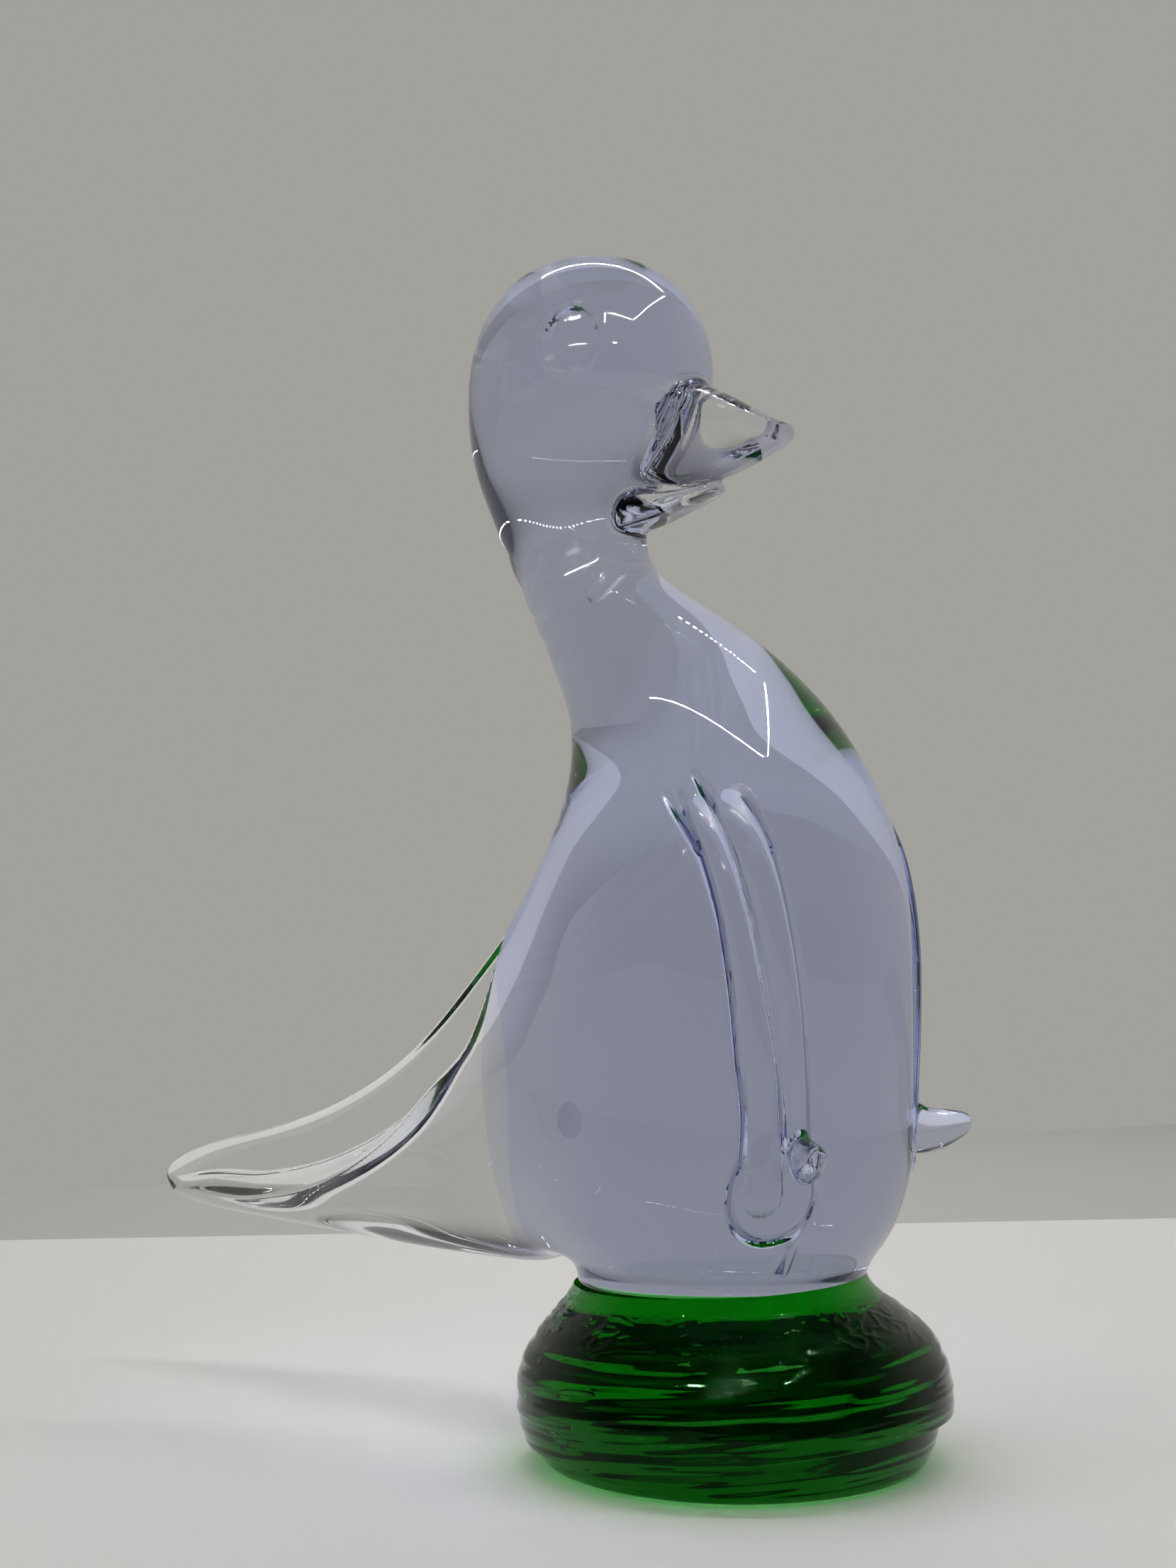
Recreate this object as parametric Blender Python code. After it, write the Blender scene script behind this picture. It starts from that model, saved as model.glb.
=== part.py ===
import math

import bmesh
import bpy
from mathutils import Matrix, Vector

mm = 0.001

# All sizes are in millimetres, measured from the middle of the flat underside.
# x runs towards the bill, y towards the duck's left wing and z up.

fused_gap = 0.3  # clear space left where two bits of glass are fused in the real one
cutter_reach = 120  # edge of the blocks that part one piece from the next
weld_distance = 0.002  # points closer than this become one after a cut
sliver = 0.001

# Green base
foot_rest_radius = 27.2
base_sides = 48
shoulder_radius = 21.4  # where the duck's body stands on the green glass
shoulder_forward = -2.3
joint_height = 27.1
joint_lean = math.radians(3.3)  # the body's underside is higher at the chest
lip_height = 5.3  # the wrap's lower lip, halfway between its high and its low side
lip_lean = math.radians(5.4)
lip_turn = math.radians(3)  # which way round the lip is highest, from the chest
wrap_rings = [  # height, forward, radius
    (joint_height + 4.0, shoulder_forward, shoulder_radius),
    (joint_height, shoulder_forward, shoulder_radius),
    (24.7, -1.5, 23.1),
    (22.7, -0.7, 25.5),
    (20.7, 0.0, 27.9),
    (18.4, 0.0, 30.1),
    (15.8, 0.0, 31.5),
    (12.6, 0.0, 32.3),
    (9.6, 0.0, 32.6),
    (6.8, 0.0, 32.2),
    (4.2, 0.0, 31.4),
    (1.6, 0.0, 30.2),
]
foot_rings = [
    (12.0, 0.0, 30.0),
    (7.0, 0.0, 30.3),
    (4.6, 0.0, 30.1),
    (2.4, 0.0, 29.4),
    (0.8, 0.0, 28.5),
    (0.0, 0.0, foot_rest_radius),
]

# Body, neck and head: height, forward, half depth, half width
core_sides = 20
core_smoothing = 1
torso_forward = -1.0
core_rings = [
    (joint_height - 8.1, shoulder_forward, shoulder_radius, shoulder_radius),
    (joint_height, shoulder_forward, shoulder_radius, shoulder_radius),
    (joint_height + 3.5, -2.2, shoulder_radius + 1.3, shoulder_radius + 1.3),
    (joint_height + 7.9, -1.8, shoulder_radius + 4.5, shoulder_radius + 4.5),
    (43.0, -1.2, 27.9, 27.7),
    (55.0, torso_forward, 27.6, 27.6),
    (69.0, torso_forward, 27.8, 27.8),
    (82.0, -1.1, 27.5, 27.5),
    (92.0, -1.5, 26.2, 26.0),
    (101.0, -2.2, 23.0, 22.7),
    (108.5, -4.6, 20.7, 20.0),
    (115.5, -9.2, 19.2, 17.6),
    (121.5, -14.8, 17.1, 15.0),
    (127.0, -20.9, 14.1, 12.8),
    (131.0, -25.6, 11.5, 11.2),
    (135.0, -28.1, 10.9, 10.7),
    (140.0, -29.3, 11.9, 11.8),
    (145.5, -29.4, 14.3, 13.8),
    (151.0, -27.9, 17.0, 16.4),
    (157.0, -26.0, 19.0, 18.4),
    (163.0, -25.3, 19.1, 18.9),
    (169.0, -25.1, 17.8, 17.8),
    (175.0, -25.0, 14.2, 14.2),
    (179.4, -25.0, 8.2, 8.2),
    (180.3, -25.0, 2.6, 2.6),
]

# Tail: forward, low edge, high edge, half thickness
tail_root = (30.0, 92.5)  # the heights between which it leaves the body
tail_columns = 3  # faces of the body on each side of its back line
tail_steps = [
    (-32.0, 25.8, 88.0, 16.5),
    (-38.0, 25.7, 79.4, 13.8),
    (-46.5, 25.8, 69.6, 12.0),
    (-58.0, 26.1, 57.4, 10.6),
    (-72.0, 26.9, 48.4, 9.2),
    (-88.0, 27.9, 42.6, 7.6),
    (-100.5, 28.4, 40.0, 6.0),
    (-108.2, 30.0, 36.6, 3.8),
]
tail_tip_bulge = 3.2

# Where the head is set on the neck, and where the tail is set on the body
neck_joint = (-27.0, 129.8)
neck_joint_lean = math.radians(21)  # higher at the throat
tail_joint_forward = -35
tail_joint_lean = math.radians(-4)
tail_joint_top = 100.0

# Eyes: oval dimples pressed into both sides of the head
eye_forward = 23.0  # degrees forward of straight sideways
eye_rise = 14.0  # degrees above the middle of the head
eye_across = 12.0
eye_tall = 14.6
eye_depth = 1.4
eye_turn = math.radians(17)
head_middle = (-25.4, 161.5)
head_radius = 18.5

# Bill: forward, low edge, high edge, half width below, half width above
bill_sides = 16
bill_smoothing = 1
bill_squareness = 0.55  # 0 keeps the sections oval, 1 makes them rectangles
upper_bill_steps = [
    (-17.0, 144.4, 162.6, 5.0, 7.0),
    (-6.5, 144.4, 160.4, 3.6, 6.4),
    (-1.0, 145.5, 157.8, 2.8, 5.9),
    (4.2, 147.7, 154.9, 2.2, 4.9),
    (8.0, 149.6, 153.4, 1.8, 3.3),
    (9.9, 150.6, 152.5, 1.0, 1.9),
]
lower_bill_steps = [
    (-21.0, 136.8, 143.9, 6.2, 6.4),
    (-13.0, 139.4, 143.9, 5.2, 5.8),
    (-9.0, 141.0, 144.0, 4.4, 5.0),
    (-5.0, 142.4, 144.4, 3.2, 3.9),
    (-1.8, 143.5, 145.1, 1.8, 2.4),
]

# Wings: two round ribs side by side, the front one ending in a pulled tab.
# height, degrees forward of straight sideways, half width, lift of its middle line from the body
rib_sides = 14
rib_apart = 4.9
rib_flatness = 0.76  # how far a rib stands out, for its half width
rib_steps = [
    (99.5, 25.5, 1.2, -2.0),
    (96.5, 28.5, 2.2, -1.2),
    (91.0, 33.0, 2.8, -0.2),
    (83.0, 37.4, 2.9, 0.0),
    (73.0, 41.0, 2.9, 0.1),
    (63.0, 44.0, 2.9, -0.4),
    (54.0, 45.8, 2.9, -1.2),
]
rear_rib_end = [
    (46.5, 45.4, 3.1, -0.2),
    (41.0, 43.8, 3.5, 0.5),
    (37.4, 42.8, 2.9, 0.5),
    (36.0, 42.4, 1.5, 0.3),
]
front_rib_end = [
    (48.0, 46.6, 2.9, -0.9),
    (44.6, 46.6, 2.3, -1.0),
    (43.2, 46.6, 1.2, -1.1),
]
tab_height = 48.0
tab_angle = 46.3
tab_steps = [  # distance out of the body, half width, half height, rise of its middle
    (-2.4, 2.2, 3.2, 0.0),
    (1.0, 2.3, 3.6, 0.0),
    (4.2, 2.5, 3.1, 0.4),
    (6.8, 2.3, 2.5, 0.9),
    (8.6, 1.7, 1.8, 1.3),
    (9.5, 0.9, 0.9, 1.5),
]

lilac = (0.55, 0.56, 0.68, 1.0)
clear = (0.72, 0.73, 0.74, 1.0)
green = (0.01, 0.16, 0.02, 1.0)


def clear_scene():
    for obj in list(bpy.data.objects):
        bpy.data.objects.remove(obj)


def glass(name, colour):
    material = bpy.data.materials.new(name)
    material.use_nodes = True
    shader = material.node_tree.nodes["Principled BSDF"]
    shader.inputs["Base Color"].default_value = colour
    shader.inputs["Roughness"].default_value = 0.03
    shader.inputs["Metallic"].default_value = 0.0
    shader.inputs["IOR"].default_value = 1.5
    return material


def add_object(name, bm, material=None):
    bmesh.ops.recalc_face_normals(bm, faces=bm.faces)
    mesh = bpy.data.meshes.new(name)
    bm.to_mesh(mesh)
    bm.free()
    obj = bpy.data.objects.new(name, mesh)
    bpy.context.scene.collection.objects.link(obj)
    if material:
        mesh.materials.append(material)
    else:
        obj.hide_render = True
        obj.display_type = "WIRE"
    return obj


def ring(bm, sides, middle, across, along):
    """One loop of edges round a middle point, with its two half sizes given as vectors."""
    normal = across.cross(along).normalized()
    place = Matrix((across, along, normal)).transposed().to_4x4()
    place.translation = middle
    made = bmesh.ops.create_circle(bm, cap_ends=False, segments=sides, radius=1, matrix=place)
    return sorted({edge for vert in made["verts"] for edge in vert.link_edges}, key=lambda e: e.index)


def loft(rings_of_edges, bm):
    """Skins a row of loops and closes both ends."""
    for first, second in zip(rings_of_edges, rings_of_edges[1:]):
        bmesh.ops.bridge_loops(bm, edges=first + second)
    for end in (rings_of_edges[0], rings_of_edges[-1]):
        bmesh.ops.contextual_create(bm, geom=end)


def soften(obj, levels):
    smooth = obj.modifiers.new("smooth", "SUBSURF")
    smooth.levels = levels
    smooth.render_levels = levels


def level_rings(bm, sides, rows, grow=0.0):
    """Level loops from rows of height, forward, half depth and half width."""
    made = []
    for row in rows:
        height, forward, depth = row[:3]
        width = row[3] if len(row) > 3 else depth
        middle = Vector((forward, 0, height)) * mm
        across = Vector((depth + grow, 0, 0)) * mm
        along = Vector((0, width + grow, 0)) * mm
        made.append(ring(bm, sides, middle, across, along))
    return made


def pull_tail(bm, grow):
    """Draws the faces at the back of the body out into the long flattened tail."""
    low, high = (height * mm for height in tail_root)
    half_angle = math.radians(360 / core_sides * tail_columns)
    faces = []
    for face in bm.faces:
        middle = face.calc_center_median()
        angle = math.atan2(middle.y, torso_forward * mm - middle.x)
        if len(face.verts) == 4 and low < middle.z < high and abs(angle) < half_angle:
            faces.append(face)
    reach = max(abs(vert.co.y) for face in faces for vert in face.verts)
    heights = [vert.co.z for face in faces for vert in face.verts]
    middle_height = (min(heights) + max(heights)) / 2
    half_height = (max(heights) - min(heights)) / 2
    last = None
    for step in tail_steps:
        forward, edge_low, edge_high, thick = step
        made = bmesh.ops.extrude_face_region(bm, geom=faces)
        bmesh.ops.delete(bm, geom=faces, context="FACES_ONLY")
        faces = [item for item in made["geom"] if isinstance(item, bmesh.types.BMFace)]
        verts = [item for item in made["geom"] if isinstance(item, bmesh.types.BMVert)]
        size = Vector((1, thick + grow, (edge_high - edge_low) / 2 + grow)) * mm
        centre = Vector((forward - grow * 0.5, 0, (edge_high + edge_low) / 2)) * mm
        if last is None:
            # the square patch of faces becomes an oval section
            for vert in verts:
                side = vert.co.y / reach
                rise = (vert.co.z - middle_height) / half_height
                bulge = (1 - side * side) * (1 - rise * rise)
                vert.co.x = centre.x - tail_tip_bulge * mm * bulge
                vert.co.y = size.y * side * math.sqrt(1 - rise * rise / 2)
                vert.co.z = centre.z + size.z * rise * math.sqrt(1 - side * side / 2)
        else:
            old_size, old_centre = last
            scale = (1, size.y / old_size.y, size.z / old_size.z)
            bmesh.ops.scale(bm, vec=scale, space=Matrix.Translation(-old_centre), verts=verts)
            bmesh.ops.translate(bm, vec=centre - old_centre, verts=verts)
        last = (size, centre)


def duck_core(name, material, grow=0.0):
    """The duck without wings and bill: rings from the base to the crown, and the tail pulled out behind."""
    bm = bmesh.new()
    loft(level_rings(bm, core_sides, core_rings, grow), bm)
    pull_tail(bm, grow)
    core = add_object(name, bm, material)
    soften(core, core_smoothing)
    return core


def slab(name, point, lean, above, turn=0.0):
    """A block to cut with, all below or all above a plane through a point, the plane higher at the front."""
    bm = bmesh.new()
    bmesh.ops.create_cube(bm, size=1)
    bmesh.ops.translate(bm, vec=(0, 0, 0.5 if above else -0.5), verts=bm.verts)
    bmesh.ops.scale(bm, vec=Vector((cutter_reach, cutter_reach, cutter_reach)) * mm, verts=bm.verts)
    turned = Matrix.Rotation(turn, 4, "Z") @ Matrix.Rotation(-lean, 4, "Y")
    bmesh.ops.transform(bm, matrix=turned, verts=bm.verts)
    bmesh.ops.translate(bm, vec=Vector(point) * mm, verts=bm.verts)
    return add_object(name, bm)


def cut(target, cutter, operation="DIFFERENCE"):
    modifier = target.modifiers.new(cutter.name, "BOOLEAN")
    modifier.operation = operation
    modifier.solver = "EXACT"
    modifier.object = cutter


def tail_block(name, shift):
    """The block behind the body that holds the tail, its front face moved forward by the shift."""
    bm = bmesh.new()
    bmesh.ops.create_cube(bm, size=1)
    bmesh.ops.translate(bm, vec=(-0.5, 0, 0), verts=bm.verts)
    bmesh.ops.scale(bm, vec=Vector((cutter_reach, cutter_reach, tail_joint_top)) * mm, verts=bm.verts)
    bmesh.ops.rotate(bm, matrix=Matrix.Rotation(tail_joint_lean, 3, "Y"), verts=bm.verts)
    middle = Vector((tail_joint_forward + shift, 0, tail_joint_top / 2)) * mm
    bmesh.ops.translate(bm, vec=middle, verts=bm.verts)
    return add_object(name, bm)


def neck_block(name, shift):
    point = (neck_joint[0], 0, neck_joint[1] + shift)
    return slab(name, point, neck_joint_lean, above=True)


def standing_block(name, shift, above):
    """Below or above the tilted plane on which the duck stands on the base."""
    point = (shoulder_forward, 0, joint_height + shift)
    return slab(name, point, joint_lean, above)


def lip_block(name, shift, above):
    """Below or above the tilted lip of the green wrap."""
    point = (0, 0, lip_height + shift)
    return slab(name, point, lip_lean, above, lip_turn)


def surface_point(height, degrees, side):
    """A point on the body without its wings, and the direction out of it."""
    rows = [row for row in core_rings if row[0] <= height]
    low = rows[-1]
    high = core_rings[len(rows)]
    share = (height - low[0]) / (high[0] - low[0])
    forward, depth, width = (low[i] + (high[i] - low[i]) * share for i in (1, 2, 3))
    angle = math.radians(degrees)
    shrink = (2 + math.cos(2 * math.pi / core_sides)) / 3  # smoothing pulls the loops in
    out = Vector((math.sin(angle) / depth, side * math.cos(angle) / width, 0)).normalized()
    away = Vector((depth * math.sin(angle), side * width * math.cos(angle), 0)) * shrink
    return Vector((forward, 0, height)) + away, out


def rib(name, steps, offset, side, grow):
    """One rounded rib of a wing, laid down the body along rows of height, angle, half width and lift."""
    places = []
    for height, degrees, radius, lift in steps:
        point, out = surface_point(height, degrees, side)
        sideways = Vector((out.y, -out.x, 0)) * side
        places.append((point + out * lift + sideways * offset, out, radius))
    bm = bmesh.new()
    loops = []
    for i, (point, out, radius) in enumerate(places):
        before, after = places[max(i - 1, 0)][0], places[min(i + 1, len(places) - 1)][0]
        along = (after - before).normalized()
        point = point + along * grow * ((i == len(places) - 1) - (i == 0))
        across = along.cross(out).normalized()
        outward = across.cross(along)
        wide = across * (radius + grow) * mm
        proud = outward * (radius * rib_flatness + grow) * mm
        loops.append(ring(bm, rib_sides, point * mm, wide, proud))
    loft(loops, bm)
    return add_object(name, bm)


def tab(name, side, grow):
    """The flat tongue pulled out of the front rib."""
    root, out = surface_point(tab_height, tab_angle, side)
    sideways = Vector((out.y, -out.x, 0)) * side
    bm = bmesh.new()
    loops = []
    for i, (distance, width, tall, rise) in enumerate(tab_steps):
        distance += grow * ((i == len(tab_steps) - 1) - (i == 0))
        point = root + out * distance + sideways * rib_apart / 2 + Vector((0, 0, rise))
        across = sideways * (width + grow) * mm
        up = Vector((0, 0, tall + grow)) * mm
        loops.append(ring(bm, rib_sides, point * mm, across, up))
    loft(loops, bm)
    return add_object(name, bm)


def wing_forms(name, side, grow):
    """The rear rib, the front rib and the tab of one wing."""
    rear = rib(name + "_rear", rib_steps + rear_rib_end, -rib_apart / 2, side, grow)
    front = rib(name + "_front", rib_steps + front_rib_end, rib_apart / 2, side, grow)
    return rear, front, tab(name + "_tab", side, grow)


def add_wing(name, side, body, material):
    rear, front, tongue = wing_forms(name + "_form", side, 0.0)
    wing = bpy.data.objects.new(name, rear.data.copy())
    bpy.context.scene.collection.objects.link(wing)
    wing.data.materials.append(material)
    cut(wing, front, "UNION")
    cut(wing, tongue, "UNION")
    for seat in wing_forms(name + "_seat", side, fused_gap):
        cut(body, seat)
    return wing


def bill_form(name, steps, material):
    """A bill half as a loft of rounded sections, flat on the side that faces the other half."""
    bm = bmesh.new()
    loops = []
    for forward, low, high, width_low, width_high in steps:
        middle = Vector((forward, 0, (low + high) / 2)) * mm
        loop = ring(bm, bill_sides, middle, Vector((0, 1, 0)) * mm, Vector((0, 0, 1)) * mm)
        for vert in {vert for edge in loop for vert in edge.verts}:
            side = vert.co.y / mm
            rise = (vert.co.z - middle.z) / mm
            # a square with rounded corners in place of the round loop
            stretch = 1 / max(abs(side), abs(rise)) ** bill_squareness
            width = width_low + (width_high - width_low) * (rise * stretch + 1) / 2
            vert.co.y = side * stretch * width * mm
            vert.co.z = middle.z + rise * stretch * (high - low) / 2 * mm
        loops.append(loop)
    loft(loops, bm)
    bill = add_object(name, bm, material)
    soften(bill, bill_smoothing)
    return bill


def eye_press(name, side):
    """The oval tool that presses an eye into the head."""
    turn = math.radians(eye_forward)
    rise = math.radians(eye_rise)
    level = Vector((math.sin(turn), side * math.cos(turn), 0))
    out = level * math.cos(rise) + Vector((0, 0, math.sin(rise)))
    middle = Vector((head_middle[0], 0, head_middle[1]))
    bm = bmesh.new()
    bmesh.ops.create_uvsphere(bm, u_segments=32, v_segments=16, radius=1)
    size = Vector((eye_across / 2, eye_tall / 2, eye_depth * 2)) * mm
    bmesh.ops.scale(bm, vec=size, verts=bm.verts)
    bmesh.ops.rotate(bm, matrix=Matrix.Rotation(side * eye_turn, 3, "Z"), verts=bm.verts)
    bmesh.ops.rotate(bm, matrix=out.to_track_quat("Z", "Y").to_matrix(), verts=bm.verts)
    bmesh.ops.translate(bm, vec=(middle + out * (head_radius + eye_depth)) * mm, verts=bm.verts)
    return add_object(name, bm)


def settle():
    """Keeps what each piece looks like with its cuts made, and removes the helpers."""
    bpy.context.view_layer.update()
    graph = bpy.context.evaluated_depsgraph_get()
    nodes = [obj for obj in bpy.data.objects if not obj.hide_render]
    meshes = [bpy.data.meshes.new_from_object(obj.evaluated_get(graph)) for obj in nodes]
    for obj, mesh in zip(nodes, meshes):
        obj.modifiers.clear()
        bm = bmesh.new()
        bm.from_mesh(mesh)
        bmesh.ops.remove_doubles(bm, verts=bm.verts, dist=weld_distance * mm)
        bmesh.ops.dissolve_degenerate(bm, edges=bm.edges, dist=sliver * mm)
        bmesh.ops.recalc_face_normals(bm, faces=bm.faces)
        bm.to_mesh(mesh)
        bm.free()
        obj.data = mesh
        mesh.name = obj.name
        mesh.shade_smooth()
        mesh.set_sharp_from_angle(angle=math.radians(40))
        print(obj.name, len(mesh.polygons), "faces")
    for obj in list(bpy.data.objects):
        if obj not in nodes:
            bpy.data.objects.remove(obj)


def build():
    clear_scene()
    lilac_glass = glass("lilac_glass", lilac)
    clear_glass = glass("clear_glass", clear)
    green_glass = glass("green_glass", green)
    half_gap = fused_gap / 2

    body = duck_core("body", lilac_glass)
    cut(body, neck_block("head_space", -half_gap))
    cut(body, tail_block("tail_space", half_gap))
    cut(body, standing_block("below_body", half_gap, above=False))

    head = duck_core("head", lilac_glass)
    cut(head, neck_block("head_block", half_gap), "INTERSECT")
    for side in (-1, 1):
        cut(head, eye_press("eye_press", side))

    tail = duck_core("tail", clear_glass)
    cut(tail, tail_block("tail_block", -half_gap), "INTERSECT")
    cut(tail, standing_block("below_tail", half_gap, above=False))

    grown_core = duck_core("grown_core", None, fused_gap)
    upper_bill = bill_form("upper_bill", upper_bill_steps, clear_glass)
    cut(upper_bill, grown_core)
    lower_bill = bill_form("lower_bill", lower_bill_steps, clear_glass)
    cut(lower_bill, grown_core)

    add_wing("right_wing", -1, body, lilac_glass)
    add_wing("left_wing", 1, body, lilac_glass)

    bm = bmesh.new()
    loft(level_rings(bm, base_sides, wrap_rings), bm)
    wrap = add_object("base_wrap", bm, green_glass)
    cut(wrap, standing_block("above_wrap", -half_gap, above=True))
    cut(wrap, lip_block("below_wrap", half_gap, above=False))

    bm = bmesh.new()
    loft(level_rings(bm, base_sides, foot_rings), bm)
    foot = add_object("base_foot", bm, green_glass)
    cut(foot, lip_block("above_foot", -half_gap, above=True))
    settle()


build()
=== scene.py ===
import math

import bmesh
import bpy
from mathutils import Matrix, Vector, noise
from mathutils.bvhtree import BVHTree


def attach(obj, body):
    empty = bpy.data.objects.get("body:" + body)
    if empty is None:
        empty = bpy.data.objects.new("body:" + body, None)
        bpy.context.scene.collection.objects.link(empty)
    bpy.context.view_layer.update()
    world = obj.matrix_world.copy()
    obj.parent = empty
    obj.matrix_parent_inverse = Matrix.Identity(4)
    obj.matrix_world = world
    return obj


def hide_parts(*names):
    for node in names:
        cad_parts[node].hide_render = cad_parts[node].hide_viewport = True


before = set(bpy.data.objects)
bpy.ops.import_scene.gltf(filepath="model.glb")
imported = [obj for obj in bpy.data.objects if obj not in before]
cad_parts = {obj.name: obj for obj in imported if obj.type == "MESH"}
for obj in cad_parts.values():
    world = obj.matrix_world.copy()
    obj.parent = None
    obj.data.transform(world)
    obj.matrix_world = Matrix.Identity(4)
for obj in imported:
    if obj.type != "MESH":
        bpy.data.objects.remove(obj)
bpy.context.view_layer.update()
print("frame loaded:", ", ".join(sorted(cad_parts)))

mm = 0.001  # sizes below are in millimetres, from the middle of the base's underside
seam = 0.01  # half the clear space at a fused joint
halfway = 0.5  # how far a smoothing pass takes a point towards its neighbours
cornerLimit = 1.4  # where a skin swells, a sharp corner moves at most this many times its distance
cutTolerance = 1e-7  # metres
tiny = 1e-9  # keeps a division away from nought
sharpAngle = 35.0  # degrees past which an edge shows sharp
white = (1.0, 1.0, 1.0)

helpers = []  # forms that only shape the pieces, removed at the end


def linked(name, data):
    obj = bpy.data.objects.new(name, data)
    bpy.context.scene.collection.objects.link(obj)
    return obj


def newObject(name, bm, materials=()):
    mesh = bpy.data.meshes.new(name)
    bm.to_mesh(mesh)
    bm.free()
    for material in materials:
        mesh.materials.append(material)
    return linked(name, mesh)


def openMesh(obj):
    bm = bmesh.new()
    bm.from_mesh(obj.data)
    return bm


def closeMesh(bm, obj):
    bm.to_mesh(obj.data)
    bm.free()


def applyModifiers(obj):
    bpy.context.view_layer.update()
    graph = bpy.context.evaluated_depsgraph_get()
    mesh = bpy.data.meshes.new_from_object(obj.evaluated_get(graph))
    obj.modifiers.clear()
    obj.data = mesh
    return obj


def paint(obj, *materials):
    # gives every face the first of the materials
    obj.data.materials.clear()
    for material in materials:
        obj.data.materials.append(material)
    obj.data.polygons.foreach_set("material_index", [0] * len(obj.data.polygons))


def copyOf(obj, name, *materials):
    # its faces keep their materials where none are given
    made = linked(name, obj.data.copy())
    if materials:
        paint(made, *materials)
    return made


def helperOf(obj, name, *materials):
    made = copyOf(obj, name, *materials)
    helpers.append(made)
    return made


def swell(obj, distance):
    # moves every point along its normal
    bm = openMesh(obj)
    bm.normal_update()
    for vert in bm.verts:
        vert.co += vert.normal * min(vert.calc_shell_factor(), cornerLimit) * distance * mm
    closeMesh(bm, obj)


def soften(obj, levels):
    smooth = obj.modifiers.new("smooth", "SUBSURF")
    smooth.levels = levels
    smooth.render_levels = levels


def cut(target, cutter, operation="DIFFERENCE"):
    modifier = target.modifiers.new(cutter.name, "BOOLEAN")
    modifier.operation = operation
    modifier.solver = "MANIFOLD"
    modifier.material_mode = "TRANSFER"
    modifier.object = cutter


def keepLargest(obj):
    # drops the crumbs that a cut leaves beside the piece
    bm = openMesh(obj)
    left = set(bm.faces)
    shells = []
    for face in bm.faces:
        if face not in left:
            continue
        left.remove(face)
        shell = [face]
        for found in shell:
            for edge in found.edges:
                near = [other for other in edge.link_faces if other in left]
                left.difference_update(near)
                shell.extend(near)
        shells.append(shell)
    largest = max(shells, key=len)
    crumbs = [face for shell in shells if shell is not largest for face in shell]
    bmesh.ops.delete(bm, geom=crumbs, context="FACES")
    closeMesh(bm, obj)


def ring(bm, sides, middle, across, along):
    # an oval with its half axes across and along, given back as its edges in order
    normal = across.cross(along).normalized()
    place = Matrix((across, along, normal)).transposed().to_4x4()
    place.translation = middle
    made = bmesh.ops.create_circle(bm, cap_ends=False, segments=sides, radius=1, matrix=place)
    edges = {edge for vert in made["verts"] for edge in vert.link_edges}
    return sorted(edges, key=lambda edge: edge.index)


def settled(sides):
    # how far inside its corners a ring lies once it is subdivided, as a share of its radius
    return (2 + math.cos(2 * math.pi / sides)) / 3


def loft(bm, loops):
    for first, second in zip(loops, loops[1:]):
        bmesh.ops.bridge_loops(bm, edges=first + second)
    for end in (loops[0], loops[-1]):
        bmesh.ops.contextual_create(bm, geom=end)
    bmesh.ops.recalc_face_normals(bm, faces=bm.faces)


def partAt(obj, point, normal, below=None):
    # keeps what lies behind the plane and closes the opening with faces of the second material
    bm = openMesh(obj)
    faces = [f for f in bm.faces if below is None or max(v.co.z for v in f.verts) < below * mm]
    edges = {e for f in faces for e in f.edges}
    verts = {v for f in faces for v in f.verts}
    made = bmesh.ops.bisect_plane(
        bm, geom=list(verts) + list(edges) + faces, dist=cutTolerance,
        plane_co=Vector(point) * mm, plane_no=normal, clear_outer=True,
    )
    rim = [item for item in made["geom_cut"] if isinstance(item, bmesh.types.BMEdge)]
    caps = bmesh.ops.holes_fill(bm, edges=rim, sides=0)["faces"]
    for face in caps:
        face.material_index = 1
    closeMesh(bm, obj)


def turned(degrees, axis):
    return Matrix.Rotation(math.radians(degrees), 3, axis)


def fade(low, high, value):
    # 0 below the low value, 1 above the high one and smooth in between
    share = min(max((value - low) / (high - low), 0), 1)
    return share * share * (3 - 2 * share)


# Nodes that both the glass and the room use
def mapRange(tree, value, span, ends=(0, 1), kind="LINEAR"):
    node = tree.nodes.new("ShaderNodeMapRange")
    node.interpolation_type = kind
    node.inputs["From Min"].default_value, node.inputs["From Max"].default_value = span
    node.inputs["To Min"].default_value, node.inputs["To Max"].default_value = ends
    tree.links.new(value, node.inputs["Value"])
    return node.outputs["Result"]


def mixColours(tree, share, first, second):
    # a Mix node's colours are its sockets 6 and 7, and its mixed colour is its output 2
    node = tree.nodes.new("ShaderNodeMix")
    node.data_type = "RGBA"
    node.inputs[6].default_value = (*first, 1)
    node.inputs[7].default_value = (*second, 1)
    tree.links.new(share, node.inputs[0])
    return node.outputs[2]


# Glass
glassLook = {
    "index": 1.5,
    # the lilac hardly deepens with thickness, so part of its colour lies on the surface, as its skin
    "lilac": {
        "skin": (0.77, 0.82, 1.0), "tint": (0.905, 0.915, 0.965), "density": 50.0, "smear": 0.004,
        "gleam": white,
    },
    "clear": {
        "skin": white, "tint": (0.93, 0.94, 0.985), "density": 14.0, "smear": 0.006, "gleam": white,
    },
    "green": {
        "skin": white, "tint": (0.02, 0.72, 0.05), "density": 120.0, "smear": 0.01,
        "gleam": (0.15, 0.4, 0.17),  # held back, or the pale floor would turn the dark base grey
    },
    "waveSize": 60.0,  # ripples to the metre
    "waveDetail": 1.0,
    "waveHeight": 0.03,
    "smearSpan": (0.35, 0.75),  # where in the ripples the smear begins and where it is full
}


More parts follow.
